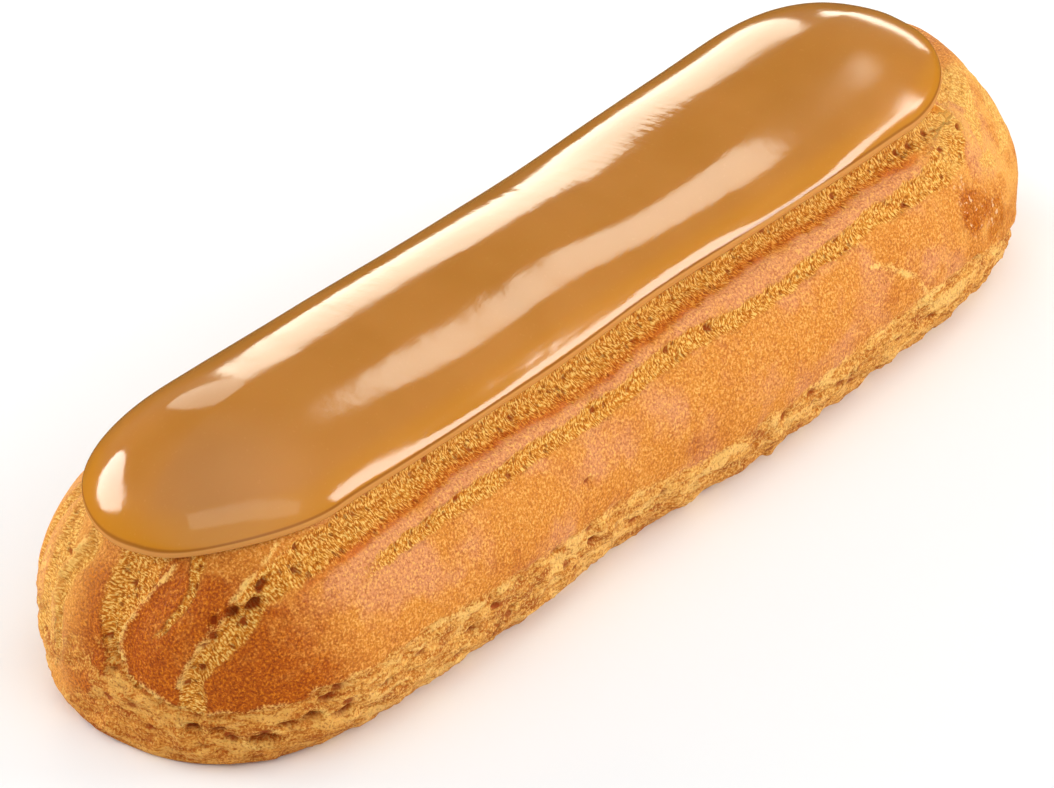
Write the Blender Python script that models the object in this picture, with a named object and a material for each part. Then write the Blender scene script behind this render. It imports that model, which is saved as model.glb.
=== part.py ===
"""An iced eclair, as two solids: the baked choux bun and the icing that was poured over its top.

Metres, +Z up. X runs along the eclair, with its taller end at -X, and the origin is the middle of the
flat base, on which the bun was baked. A place on the bun is given by x and by an angle round the
section: 0 at the top, a quarter turn out to the -Y side, and half a turn at the middle of the base.
"""

import math

import bmesh
import bpy
import numpy as np
from mathutils import Vector, noise

MM = 0.001

# The choux bun
CRUST_COLOUR, CRUST_ROUGHNESS = (0.62, 0.32, 0.10), 0.6
LENGTH = 145 * MM
WIDTH = 44 * MM
HEIGHT = 32.7 * MM  # of the round form at mid-length, before the icing presses it in
WAIST_Z = 10.6 * MM  # height of the widest line, and of both tips
SAG = 12.8 * MM  # how far below that line the round section would reach if no tray cut it flat
TALL_CAP = 23.6 * MM  # length over which the -X end rounds off
LOW_CAP = 30 * MM  # the same for the +X end
CAP_POWER = 2.64  # 2 would be elliptical ends, and more is blunter
CROWN_POWER = 1.68  # the same for the section above the widest line
UNDER_POWER = 3.2  # and for the section below it
CROWN_REACH = 1.29  # power of the cap's rounding by which the height falls off
UNDER_REACH = 0.05  # and by which the base draws in
END_NARROWING = 0.08  # share of the width lost towards the tips
END_DROP = 0.12  # share of the height gained at the -X end and lost at the +X end
BOW = 0.8 * MM  # how far both ends bend towards +Y
BASE_ROUNDING = 0.6 * MM
FOOT_X, FOOT_Y = 50 * MM, 13.5 * MM  # the flat base touches the tray near its four corners
FOOT_SPREAD = 20 * MM
BASE_LIFT = 0.05 * MM  # and clears it by this much elsewhere

# Uneven places, as (x, spread along x, share added)
SIDE_SWELLS = ((-11 * MM, 14.5 * MM, -0.065),)
CROWN_SWELLS = ((11 * MM, 14.5 * MM, -0.048), (52 * MM, 11 * MM, 0.043))
ICING_SWELLS = ((-36 * MM, 20 * MM, 0.027), (4 * MM, 20 * MM, -0.04))

# The icing
ICING_COLOUR, ICING_ROUGHNESS = (0.55, 0.28, 0.09), 0.12
ICING_LENGTH = 134 * MM
ICING_WIDTH = 29.4 * MM
ICING_MIDDLE_X = -3 * MM
ICING_MIDDLE_Y = 0.6 * MM  # measured from the bun's bowed middle line
ICING_CAP = 17.2 * MM
ICING_THICKNESS = 1.9 * MM
ICING_EDGE_POWER = 7  # how soon the flat of the icing turns down at its poured edge
ICING_GAP = 0.3 * MM  # clearance between the two solids
CROWN_SINK = 1.2 * MM  # how far the bun's top lies pressed in below the icing
RIDGE_SINK = 0.9 * MM  # how much further it is pressed in along the middle
RIDGE_SPREAD = 6.5 * MM
SINK_EDGE = (1.06, 1.25)  # shares of the icing's half-width over which that ends

# The seams between the ribs that a star nozzle left along the bun, alike on both sides:
# (degrees from the top along the middle, degrees at the tips, half-width in degrees, depth)
SEAMS = (
    (8, 24, 4.0, 0.8 * MM),
    (24, 48, 4.5, 1.0 * MM),
    (47, 64, 4.5, 1.2 * MM),
    (59, 73, 3.0, 0.4 * MM),
)
FAN_LENGTH = 40 * MM  # distance from a tip over which the seams fan out
SEAM_WANDER = math.radians(1.8)
SEAM_WANDER_LENGTH = 17 * MM
SEAM_WANDER_SQUEEZE = 0.2  # the wander varies this much less across the bun than along it

# The torn lower edge of the crust, and the rough dough below it
LEDGE_ANGLE = math.radians(92)
LEDGE_SPREAD = math.radians(3)
LEDGE_WANDER = math.radians(4)
LEDGE_DEPTH = 0.4 * MM
CRAG_SIZE = 4.5 * MM
CRAG_HEIGHT = 0.6 * MM
LUMP_SIZE = 13 * MM
LUMP_HEIGHT = 0.4 * MM
BASE_CLEAR = 1.5 * MM  # the relief fades out within this height above the tray
TIP_CLEAR = 7 * MM  # and within this distance of each tip

TINY_STEP = 0.01 * MM  # over which a slope is taken

# Mesh density
OUTLINE_STEPS = 2000  # straight steps used to measure along an outline
BUN_AROUND, BUN_ALONG = 64, 66
SIDE_CROWDING = 0.35  # draws the points round the section towards the sides
ICING_AROUND, ICING_ALONG = 36, 60
ICING_TOP_SHARE = 0.7  # share of the points round the icing that its upper side gets


def smooth_step(value, low, high):
    t = np.clip((value - low) / (high - low), 0, 1)
    return t * t * (3 - 2 * t)


def bump(value, middle, half_width):
    """A smooth hump, 1 at the middle."""
    return np.exp(-(((value - middle) / half_width) ** 2))


def swelling(x, swells):
    return 1 + sum(share * bump(x, at, spread) for at, spread, share in swells)


def noise_at(points, size):
    """Smooth noise from about -1 to 1, with features of that size."""
    return np.array([noise.noise(Vector(p) / size) for p in points])


def end_share(x, low_cap, high_cap, half_length):
    """0 along the middle, growing to 1 at the ends and on past them."""
    cap = np.where(x < 0, low_cap, high_cap)
    return np.maximum((np.abs(x) - (half_length - cap)) / cap, 0)


def bun_cap(x):
    """1 along the middle, rounding off to 0 at the tips."""
    share = np.minimum(end_share(x, TALL_CAP, LOW_CAP, LENGTH / 2), 1)
    return (1 - share**CAP_POWER) ** (1 / CAP_POWER)


def crown_height(x):
    slope = 1 - END_DROP * x / (LENGTH / 2)
    return (HEIGHT - WAIST_Z) * slope * swelling(x, CROWN_SWELLS) * bun_cap(x) ** CROWN_REACH


def bun_half_width(x):
    taper = 1 - END_NARROWING * (x / (LENGTH / 2)) ** 2
    return WIDTH / 2 * taper * swelling(x, SIDE_SWELLS) * bun_cap(x)


def middle_y(x):
    """The bun's bowed middle line."""
    return BOW * (x / (LENGTH / 2)) ** 2


def on_tray(z):
    """Cuts the form flat at the tray, with a small rounding."""
    eased = (z + BASE_ROUNDING) ** 2 / (4 * BASE_ROUNDING)
    return np.where(z > BASE_ROUNDING, z, np.where(z < -BASE_ROUNDING, 0, eased))


def base_clearance(points):
    """How far above the tray each point of the base stays."""
    x, y = points[:, 0], points[:, 1]
    from_foot = np.hypot(np.abs(x) - FOOT_X, np.abs(y) - FOOT_Y)
    return BASE_LIFT * np.minimum(from_foot / FOOT_SPREAD, 1)


def bun_form(x, angle):
    """Points of the smooth bun, without its seams and crags."""
    sine, cosine = np.sin(angle), np.cos(angle)
    above = cosine > 0
    power = np.where(above, CROWN_POWER, UNDER_POWER)
    y = middle_y(x) - bun_half_width(x) * np.sign(sine) * np.abs(sine) ** (2 / power)
    reach = np.where(above, crown_height(x), SAG * bun_cap(x) ** UNDER_REACH)
    z = WAIST_Z + np.sign(cosine) * reach * np.abs(cosine) ** (2 / power)
    return np.stack([x, y, on_tray(z)], axis=1)


def icing_end_share(x):
    return end_share(x - ICING_MIDDLE_X, ICING_CAP, ICING_CAP, ICING_LENGTH / 2)


def icing_widest(x):
    return ICING_WIDTH / 2 * swelling(x, ICING_SWELLS)


def icing_reach(x, y):
    """0 along the icing's middle, and 1 at its edge."""
    from_middle = y - middle_y(x) - ICING_MIDDLE_Y
    return np.hypot(icing_end_share(x), from_middle / icing_widest(x))


def icing_half_width(x):
    return icing_widest(x) * np.sqrt(1 - np.minimum(icing_end_share(x), 1) ** 2)


def crown_sink(x, y):
    """How far the bun's top is pressed in below the icing."""
    ridge = bump(y, middle_y(x), RIDGE_SPREAD)
    beyond_edge = smooth_step(icing_reach(x, y), *SINK_EDGE)
    return (CROWN_SINK + RIDGE_SINK * ridge) * (1 - beyond_edge)


def seam_depth(x, angle, wander):
    from_tip = LENGTH / 2 - np.abs(x)
    fan = 1 - np.clip(from_tip / FAN_LENGTH, 0, 1)
    total = np.zeros(len(x))
    for middle, tip, half, depth in SEAMS:
        centre = np.radians(middle + (tip - middle) * fan) + SEAM_WANDER * wander
        total += depth * bump(np.abs(angle), centre, math.radians(half))
    return total


def bun_relief(points, angle):
    """How far each point of the bun stands out from the smooth form."""
    x, y, z = points.T
    squeezed = points * [1, SEAM_WANDER_SQUEEZE, SEAM_WANDER_SQUEEZE]
    wander = noise_at(squeezed, SEAM_WANDER_LENGTH)
    ledge = LEDGE_ANGLE + LEDGE_WANDER * wander
    below = smooth_step(np.abs(angle), ledge - LEDGE_SPREAD, ledge + LEDGE_SPREAD)
    crags = CRAG_HEIGHT * noise_at(points, CRAG_SIZE) - LEDGE_DEPTH
    lumps = LUMP_HEIGHT * np.minimum(noise_at(points, LUMP_SIZE), 0)
    clear_of_icing = smooth_step(icing_reach(x, y), *SINK_EDGE)
    clear_of_icing = np.where(z > WAIST_Z, clear_of_icing, 1)
    hollows = seam_depth(x, angle, wander) * (1 - below) * clear_of_icing
    hollows = np.maximum(hollows, np.where(z > WAIST_Z, crown_sink(x, y), 0))
    rough = (lumps + crags * below) * clear_of_icing
    from_tip = np.linalg.norm([LENGTH / 2 - np.abs(x), y - middle_y(x), z - WAIST_Z], axis=0)
    fade = smooth_step(z, 0, BASE_CLEAR) * smooth_step(from_tip, 0, TIP_CLEAR)
    return (rough - hollows) * fade


def even_spacing(share, low, high, half_width):
    """x at each share of the way from low to high, with even steps along an outline."""
    turn = np.linspace(-math.pi / 2, math.pi / 2, OUTLINE_STEPS + 1)
    x = (low + high) / 2 + (high - low) / 2 * np.sin(turn)
    step = np.hypot(np.diff(x), np.diff(half_width(x)))
    travelled = np.concatenate([[0], np.cumsum(step)])
    return np.interp(share * travelled[-1], travelled, x)


def sphere(name, around, along):
    """A sphere's mesh, with each vertex's share of the way to its low pole and its turn from the top."""
    bm = bmesh.new()
    bmesh.ops.create_uvsphere(bm, u_segments=around, v_segments=along, radius=1)
    mesh = bpy.data.meshes.new(name)
    bm.to_mesh(mesh)
    bm.free()
    across, up, pole = np.array([v.co for v in mesh.vertices]).T
    share = np.arccos(np.clip(pole, -1, 1)) / math.pi
    turn = np.arctan2(-across, up)
    return mesh, share, turn


def set_points(mesh, points):
    mesh.vertices.foreach_set("co", points.astype(np.float32).ravel())
    mesh.update()


def make_bun():
    """A sphere with its poles along X, pulled into the piped and baked bun."""
    mesh, share, turn = sphere("choux", BUN_AROUND, BUN_ALONG)
    x = even_spacing(1 - share, -LENGTH / 2, LENGTH / 2, bun_half_width)
    angle = turn + SIDE_CROWDING / 2 * np.sin(2 * turn)
    points = bun_form(x, angle)
    set_points(mesh, points)
    outward = np.array([v.normal for v in mesh.vertices])
    points += outward * bun_relief(points, angle)[:, None]
    points[:, 2] = np.maximum(points[:, 2], base_clearance(points))
    points[:, 2] -= points[:, 2].min()
    set_points(mesh, points)
    return mesh


def crown_point(x, y):
    """The point of the smooth bun's top above that place in the plan."""
    from_middle = y - middle_y(x)
    share = np.clip(np.abs(from_middle) / bun_half_width(x), 0, 1)
    return bun_form(x, -np.sign(from_middle) * np.arcsin(share ** (CROWN_POWER / 2)))


def crown_normal(x, y):
    along = crown_point(x + TINY_STEP, y) - crown_point(x - TINY_STEP, y)
    across = crown_point(x, y + TINY_STEP) - crown_point(x, y - TINY_STEP)
    normal = np.cross(along, across)
    return normal / np.linalg.norm(normal, axis=1)[:, None]


def make_icing():
    """A sphere pressed flat, with its underside along the bun's crown and a rounded edge."""
    mesh, share, turn = sphere("icing", ICING_AROUND, ICING_ALONG)
    half = ICING_LENGTH / 2
    x = even_spacing(1 - share, ICING_MIDDLE_X - half, ICING_MIDDLE_X + half, icing_half_width)
    quarters = [0, ICING_TOP_SHARE * math.pi, math.pi]
    turn = np.sign(turn) * np.interp(np.abs(turn), quarters, [0, math.pi / 2, math.pi])
    y = middle_y(x) + ICING_MIDDLE_Y - icing_half_width(x) * np.sin(turn)
    reach = np.clip(icing_reach(x, y), 0, 1)
    thickness = ICING_THICKNESS * (1 - reach**ICING_EDGE_POWER) ** (1 / ICING_EDGE_POWER)
    rise = ICING_GAP + np.where(np.cos(turn) > 0, thickness, 0) - crown_sink(x, y)
    set_points(mesh, crown_point(x, y) + crown_normal(x, y) * rise[:, None])
    return mesh


def plain_material(name, colour, roughness):
    material = bpy.data.materials.new(name)
    material.use_nodes = True
    shader = material.node_tree.nodes["Principled BSDF"]
    shader.inputs["Base Color"].default_value = (*colour, 1)
    shader.inputs["Roughness"].default_value = roughness
    return material


def add_object(mesh, material, collection):
    mesh.materials.append(material)
    mesh.shade_smooth()
    collection.objects.link(bpy.data.objects.new(mesh.name, mesh))


def main():
    for old in list(bpy.data.objects):
        bpy.data.objects.remove(old)
    eclair = bpy.data.collections.new("eclair")
    bpy.context.scene.collection.children.link(eclair)
    crust = plain_material("choux", CRUST_COLOUR, CRUST_ROUGHNESS)
    fondant = plain_material("icing", ICING_COLOUR, ICING_ROUGHNESS)
    add_object(make_bun(), crust, eclair)
    add_object(make_icing(), fondant, eclair)


main()
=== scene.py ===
"""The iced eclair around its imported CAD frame: a finely modelled choux bun and glossy caramel icing.

Metres, +Z up, in the frame's own axes: X runs along the eclair, its taller end is at -X, and the camera
looks from -X, -Y and above. A place on the bun is often given as (x, angle): 0 degrees at the top, 90 at
the widest line on the -Y side, more below that line, and negative on the +Y side.
"""

import math

import bmesh
import bpy
import numpy as np
from mathutils import Matrix, Vector, kdtree, noise
from mathutils.bvhtree import BVHTree
from numpy.linalg import norm


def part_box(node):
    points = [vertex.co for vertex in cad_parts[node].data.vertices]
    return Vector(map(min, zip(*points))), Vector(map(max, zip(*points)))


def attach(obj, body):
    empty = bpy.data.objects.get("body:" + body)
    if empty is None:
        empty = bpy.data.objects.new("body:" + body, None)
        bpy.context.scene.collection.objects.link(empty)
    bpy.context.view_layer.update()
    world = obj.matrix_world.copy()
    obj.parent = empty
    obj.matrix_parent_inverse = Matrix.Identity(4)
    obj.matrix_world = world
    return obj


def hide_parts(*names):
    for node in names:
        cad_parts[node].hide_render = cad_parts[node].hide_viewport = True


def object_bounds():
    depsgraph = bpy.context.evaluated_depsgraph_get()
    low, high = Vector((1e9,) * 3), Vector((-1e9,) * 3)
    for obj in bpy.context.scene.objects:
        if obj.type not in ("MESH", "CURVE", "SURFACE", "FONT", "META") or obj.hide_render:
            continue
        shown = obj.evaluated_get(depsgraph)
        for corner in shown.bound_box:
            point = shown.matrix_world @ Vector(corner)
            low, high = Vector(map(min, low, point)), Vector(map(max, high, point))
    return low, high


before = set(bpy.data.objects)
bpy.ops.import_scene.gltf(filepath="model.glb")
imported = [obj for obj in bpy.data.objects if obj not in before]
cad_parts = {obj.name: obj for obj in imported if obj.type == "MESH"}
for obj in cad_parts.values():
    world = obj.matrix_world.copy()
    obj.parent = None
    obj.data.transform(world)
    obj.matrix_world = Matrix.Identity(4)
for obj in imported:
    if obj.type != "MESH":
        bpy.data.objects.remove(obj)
cad_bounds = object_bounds()

MM = 0.001

# ---------------- the form, as the CAD part has it
CHOUX_LOW, CHOUX_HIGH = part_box("choux")
LENGTH = CHOUX_HIGH.x - CHOUX_LOW.x
WIDTH = 44 * MM
HEIGHT = 32.7 * MM
WAIST_Z = 10.6 * MM
SAG = 12.8 * MM
TALL_CAP = 23.6 * MM
LOW_CAP = 30 * MM
CAP_POWER = 2.64
CROWN_POWER = 1.68
UNDER_POWER = 3.2
CROWN_REACH = 1.29
UNDER_REACH = 0.05
END_NARROWING = 0.08
END_DROP = 0.12
BOW = 0.8 * MM
SIDE_SWELLS = ((-11 * MM, 14.5 * MM, -0.065),)
CROWN_SWELLS = ((11 * MM, 14.5 * MM, -0.048), (52 * MM, 11 * MM, 0.043))
ICING_SWELLS = ((-36 * MM, 20 * MM, 0.027), (4 * MM, 20 * MM, -0.04))
ICING_LENGTH = 134 * MM
ICING_WIDTH = 29.4 * MM
ICING_MIDDLE_X = -3 * MM
ICING_MIDDLE_Y = 0.6 * MM
ICING_CAP = 17.2 * MM
ICING_THICKNESS = 1.9 * MM
ICING_EDGE_POWER = 5
# Near the nose its far edge is rounder: by how much, from which y to which, and (x, how far along)
ROUNDER_EDGE = 1.8
ROUNDER_EDGE_Y = (-2 * MM, 6 * MM)
ROUNDER_EDGE_X = (-33 * MM, 23 * MM)
ICING_GAP = 0.3 * MM
CROWN_SINK = 1.2 * MM
RIDGE_SINK = 0.9 * MM
RIDGE_SPREAD = 6.5 * MM
SINK_EDGE = (1.03, 1.2)
TINY = 0.001 * MM

# ---------------- the crust's features
# A line on the crust is traced through side knots, (x in mm, degrees, half-width, depth), and then
# through end knots, (x, y, z, half-width, depth), all in mm and only near the crust.
# Grooves: (side knots, end knots, how porous)
GROOVES = (
    # beside the icing, and on down the nose as the groove with holes
    (((54, 46, 1.6, 0.3), (46, 46.5, 1.8, 0.4), (42, 46.5, 1.9, 0.45), (28, 45.3, 1.9, 0.45),
      (13, 44.3, 1.9, 0.45), (-2, 47, 2, 0.45), (-12, 50.3, 2.2, 0.5), (-24, 49, 2, 0.5),
      (-35, 48.3, 2, 0.5), (-50, 51, 2.2, 0.55), (-57, 52, 2, 0.6)),
     ((-62.5, -12.9, 22.2, 1.7, 0.75), (-65.2, -12.1, 20.8, 1.65, 0.85),
      (-66.6, -11.7, 18.7, 1.6, 0.9), (-68.4, -10.5, 16.3, 1.4, 0.85), (-69.6, -9.4, 14.4, 1.25, 0.75),
      (-70.8, -8.5, 12.3, 1.15, 0.7), (-71.2, -8.3, 10, 1.2, 0.6), (-71.2, -8.6, 7.8, 1.4, 0.4)),
     1),
    (((54, 45, 1, 0.1), (54.5, 50, 1.5, 0.25), (52, 56, 2.2, 0.4), (47, 59.5, 1.6, 0.45),
      (41, 58.5, 1.2, 0.45), (28, 58.5, 1, 0.4), (13, 59, 1, 0.4), (1, 57.3, 1.15, 0.45),
      (-11, 61.3, 1.1, 0.45), (-35, 60, 1.05, 0.42), (-46, 61.5, 0.95, 0.34), (-54, 63, 0.9, 0.12),
      (-59, 64, 0.7, 0.04)),
     (), 1),
    # over the nose
    ((), ((-64.5, 0.2, 24.4, 3.3, 0.5), (-67.5, 0.4, 21.6, 3.1, 0.7), (-69.2, 1.3, 18.8, 2.6, 0.85),
      (-70.8, 2, 16, 1.9, 0.85), (-71.7, 2.3, 14, 1.4, 0.8), (-72.3, 2, 12, 1.05, 0.7),
      (-72.4, 1.2, 10.2, 0.9, 0.6), (-72.3, -0.8, 8.7, 0.9, 0.5), (-72, -3.4, 7.9, 0.9, 0.4)),
     1),
    ((), ((-64.5, 7.2, 23.3, 1.2, 0.4), (-68, 7.3, 20.6, 1.2, 0.6), (-69.4, 8.6, 17.4, 1, 0.6),
      (-70.2, 9.5, 14.2, 0.85, 0.55), (-70.8, 9.8, 11, 0.8, 0.4), (-70.9, 9.9, 8, 0.7, 0.2)),
     0.95),
    ((), ((-63.5, 10.8, 21.8, 1.5, 0.4), (-67.4, 11, 19.2, 1.5, 0.6), (-68.6, 12, 16, 1.5, 0.65),
      (-69, 12.5, 13.2, 1.5, 0.6), (-68.6, 13.4, 9.4, 1.5, 0.5), (-68, 13.9, 5.5, 1.4, 0.3)),
     0.95),
    ((), ((-66.5, -5.6, 23.2, 0.9, 0.3), (-68, -6.4, 20.8, 0.6, 0.3), (-69.6, -5.6, 18.2, 0.4, 0.3),
      (-70.4, -4.8, 16.8, 0.36, 0.3), (-71.1, -3.6, 15.2, 0.3, 0.15)),
     0.8),
    # the far side
    (((54, -48, 1.6, 0.3), (36, -45.5, 1.8, 0.45), (10, -47, 1.9, 0.45), (-16, -46, 1.8, 0.45),
      (-38, -48.5, 1.9, 0.5), (-56, -51, 1.8, 0.6)),
     ((-62, 14, 21.6, 1.5, 0.65), (-65, 15.2, 18, 1.3, 0.6), (-66, 15.8, 13.5, 1.2, 0.5)),
     1),
    (((58, -53, 1.4, 0.3), (40, -60, 1.1, 0.42), (8, -58, 1, 0.4), (-18, -61, 1.1, 0.42),
      (-42, -62.5, 1, 0.36), (-58, -67, 0.9, 0.15)),
     (), 1),
    # over the other end
    ((), ((63, 6.4, 21.5, 1.2, 0.35), (67.2, 7.4, 17.5, 1.3, 0.5), (69.8, 8.6, 13.4, 1.2, 0.45),
      (70.6, 9.6, 9, 1.1, 0.35)),
     0.9),
)
# Creases, deep brown: side knots alone
CREASES = (
    ((46, 52, 0.5, 0.2), (42, 51, 0.55, 0.3), (28, 49.5, 0.55, 0.3), (13, 48.5, 0.5, 0.3),
     (-2, 51.5, 0.55, 0.3), (-12, 55.5, 0.5, 0.3), (-24, 53.5, 0.5, 0.3), (-35, 52.5, 0.5, 0.3),
     (-50, 56, 0.5, 0.3), (-59, 57.5, 0.5, 0.2), (-64, 60, 0.4, 0.1)),
    ((46, -52.5, 0.5, 0.2), (20, -51, 0.5, 0.3), (-6, -52, 0.5, 0.3), (-30, -52.5, 0.5, 0.3),
     (-54, -56, 0.5, 0.2)),
)
# Low pinkish ribs between a crease and the next groove; their pink is partly painted sheen on the crests
RIBS = (
    ((50, 54.5, 1, 0.1), (42, 54.5, 1.2, 0.2), (28, 54, 1.3, 0.2), (13, 53.7, 1.4, 0.2),
     (-2, 54.6, 1, 0.2), (-12, 58.3, 0.9, 0.2), (-24, 57, 1.1, 0.2), (-35, 56.4, 1.2, 0.2),
     (-50, 59.5, 1.1, 0.15), (-58, 61, 1.3, 0.1)),
    ((46, -56.5, 1.1, 0.15), (10, -55, 1.2, 0.2), (-30, -57, 1.2, 0.2), (-54, -61, 1.1, 0.1)),
)
# Torn rims, pale and raised: (side knots, end knots, which side is low, how ragged); the low side is
# 1 for left of the way along and -1 for right
RIMS = (
    (((-61, 45.5, 0.3, 0.1),),
     ((-64.6, -10.9, 22.2, 0.34, 0.3), (-66.8, -10.5, 20.2, 0.4, 0.4), (-68.7, -9.6, 17.6, 0.36, 0.4),
      (-69.9, -8.3, 14.8, 0.34, 0.35), (-70.9, -7.4, 12.6, 0.3, 0.3), (-71.4, -7.2, 10.8, 0.3, 0.2)),
     1, 1),
    ((), ((-67.6, -3.4, 22.6, 0.3, 0.15), (-68.5, -2.6, 21, 0.36, 0.35), (-69.4, -1.5, 19.2, 0.4, 0.45),
      (-70.4, -0.2, 16.8, 0.42, 0.45), (-71.3, 0.6, 14.8, 0.42, 0.45), (-72.1, 1.1, 12.8, 0.42, 0.45),
      (-72.4, 0.4, 10.8, 0.42, 0.45), (-72.3, -1.2, 9.7, 0.42, 0.4), (-72, -3.7, 8.9, 0.4, 0.4),
      (-71.6, -6.3, 8.3, 0.4, 0.3), (-70.9, -8.6, 7.8, 0.35, 0.2)),
     -1, 1),
    ((), ((-66, 8.6, 21.8, 0.4, 0.3), (-67.8, 8.9, 20, 0.6, 0.45), (-69.1, 9.8, 17.6, 0.6, 0.5),
      (-69.8, 10.6, 14.8, 0.6, 0.45), (-70.2, 11.2, 11.8, 0.55, 0.4), (-70, 11.8, 8.6, 0.5, 0.3)),
     -1, 1),
    ((), ((-66.4, 12.6, 19.4, 0.2, 0.15), (-67.2, 13.8, 15.6, 0.24, 0.2), (-67.6, 14.3, 12.6, 0.24, 0.2),
      (-67.4, 15.1, 8.6, 0.2, 0.15)),
     1, 1),
    (((32, 69, 0.35, 0.1), (34.7, 72, 0.5, 0.28), (36.3, 77, 0.45, 0.34), (39.1, 82, 0.45, 0.32),
      (39.7, 90, 0.45, 0.32), (41.6, 97, 0.5, 0.24)),
     (),
     1, 0.5),
)
# Hollows torn in the crust: (x, degrees, length, height and depth in mm)
HOLLOWS = (
    (-60.8, 53, 1.1, 0.8, 0.5), (-64.3, 51.5, 1.7, 1.2, 0.8), (-65.9, 55, 2.4, 1.5, 1.2),
    (-67.9, 53.5, 2.2, 1.4, 1.1), (-69.1, 52.5, 1.2, 1, 0.6), (-69.6, 58, 1.3, 1.1, 0.7),
    (-70.3, 60, 1.2, 0.9, 0.7), (-70.9, 72, 1.2, 0.9, 0.6), (-66.9, 109, 3.6, 2, 1.8),
    (-71.4, 104, 2.4, 1.3, 1.1), (-70.2, 103, 1.6, 0.9, 0.8), (-65.1, 101, 3.6, 1.1, 1.2),
    (-62.6, 100, 2.6, 1.6, 1.3), (-59.2, 102, 3.4, 1.4, 1), (-61.2, 94, 2.6, 1.2, 0.9),
    (-69.2, 108, 2, 0.8, 0.6), (-53.5, 97, 2.6, 1, 0.7), (-47, 103, 2.2, 0.9, 0.6),
    (-40, 98, 2, 0.8, 0.5), (-33, 101, 2.6, 1, 0.7), (-18.5, 98, 2, 0.9, 0.6),
    (-18.8, 76, 1.7, 0.7, 0.25), (-9, 103, 2.6, 1, 0.7), (6, 106, 2.4, 0.9, 0.6),
    (27, 103, 2, 0.8, 0.6), (56, 107, 2.4, 1, 0.8), (-57, -104, 3, 1.2, 1),
    (-40, -100, 2.2, 1, 0.7), (-24, -101, 2.4, 1, 0.8), (2, -103, 2.6, 1, 0.7),
    (18, -104, 2.8, 1.1, 0.8), (49, -106, 2.4, 1, 0.8),
)
# The torn lower edge of the smooth crust: (mm round the outline from the nose tip, towards -Y, height in mm)
LEDGE = (
    (-167, 5.5), (-150, 6.5), (-125, 9.5), (-100, 8.4), (-70, 9), (-45, 10.3), (-28, 9), (-20, 5),
    (-12, 1.6), (-5, 1.8), (-3.2, 5.5), (-1.6, 9.6), (0, 10.2), (1.2, 9.6), (3.9, 8.8), (6.6, 8.2),
    (9.2, 7.6), (13, 8.2), (17, 8.8), (22, 9.5), (26, 10), (40, 11.2), (54, 10.6), (77, 9.4),
    (90, 8), (100, 8.2), (115, 9.4), (128, 9.3), (137, 8.8), (148, 6.4), (157, 5.5), (167, 5.5),
)
# How gradual that edge is, in mm, round the outline
LEDGE_SOFTNESS = (
    (-167, 0.8), (-60, 0.4), (-26, 0.5), (-17, 2.2), (-4, 2.4), (-1.5, 0.5), (0, 0.28), (26, 0.35), (40, 1),
    (80, 1.5), (120, 1.4), (140, 0.6), (167, 0.8),
)
# Spots of the skin: (x, degrees, radius in mm, by how much browner, by how much glossier); glossier spots
# also get painted glints
SPOTS = (
    (51.2, 75, 3.8, 0.4, 1), (50.2, 67.5, 2.6, 0.3, 0.6), (55.6, 86, 3.4, 0.35, 0.9),
    (64.8, 28, 5, 0.25, 0), (66.6, 12, 5.4, 0.3, 0), (68.4, 34, 4.6, 0.2, 0),
    (-18.4, 77, 1.1, 0.35, 0.3),
)

SEED = Vector((3.7, 11.3, 5.9))
# Without a seed the vector noise takes its offsets from the clock.
noise.seed_set(1)


def ramp(value, low, high):
    t = np.clip((value - low) / (high - low), 0, 1)
    return t * t * (3 - 2 * t)


def falloff(share):
    """1 at 0, falling to either side."""
    return np.exp(-(share**2))


def bump(value, middle, half_width):
    return falloff((value - middle) / half_width)


def swelling(x, swells):
    return 1 + sum(share * bump(x, at, spread) for at, spread, share in swells)


def sample(pattern, points, size, offset):
    """A pattern's values with features of that size; the offset sets it apart from others."""
    moved = SEED * (1 + offset)
    return np.array([pattern(Vector(p) / size + moved) for p in points])


def noise_at(points, size, offset):
    """Smooth noise from about -1 to 1."""
    return sample(noise.noise, points, size, offset)


def cells_at(points, size, offset):
    """Distance to the nearest of points strewn about that far apart, as a share of it."""
    return sample(lambda at: noise.voronoi(at)[0][0], points, size, offset)


def end_share(x, low_cap, high_cap, half_length):
    cap = np.where(x < 0, low_cap, high_cap)
    return np.maximum((np.abs(x) - (half_length - cap)) / cap, 0)


def bun_cap(x):
    share = np.minimum(end_share(x, TALL_CAP, LOW_CAP, LENGTH / 2), 1)
    return (1 - share**CAP_POWER) ** (1 / CAP_POWER)


def bun_half_width(x):
    taper = 1 - END_NARROWING * (x / (LENGTH / 2)) ** 2
    return WIDTH / 2 * taper * swelling(x, SIDE_SWELLS) * bun_cap(x)


def full_height(x):
    """Height of the crown above the widest line, before the ends round it off."""
    return (HEIGHT - WAIST_Z) * (1 - END_DROP * x / (LENGTH / 2)) * swelling(x, CROWN_SWELLS)


def middle_y(x):
    return BOW * (x / (LENGTH / 2)) ** 2


def crown_share(x, y):
    """1 on top of the bun and 0 on its widest outline, whatever the height is there."""
    half = np.maximum(bun_half_width(x), TINY)
    across = np.clip(np.abs(y - middle_y(x)) / half, 0, 1)
    return bun_cap(x) ** CROWN_REACH * (1 - across**CROWN_POWER) ** (1 / CROWN_POWER)


def crown_point(x, y):
    return np.stack([x, y, WAIST_Z + full_height(x) * crown_share(x, y)], axis=-1)


def crown_normal(x, y):
    step = 0.01 * MM
    along = crown_point(x + step, y) - crown_point(x - step, y)
    across = crown_point(x, y + step) - crown_point(x, y - step)
    normal = np.cross(along, across)
    return normal / norm(normal, axis=-1)[..., None]


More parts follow.
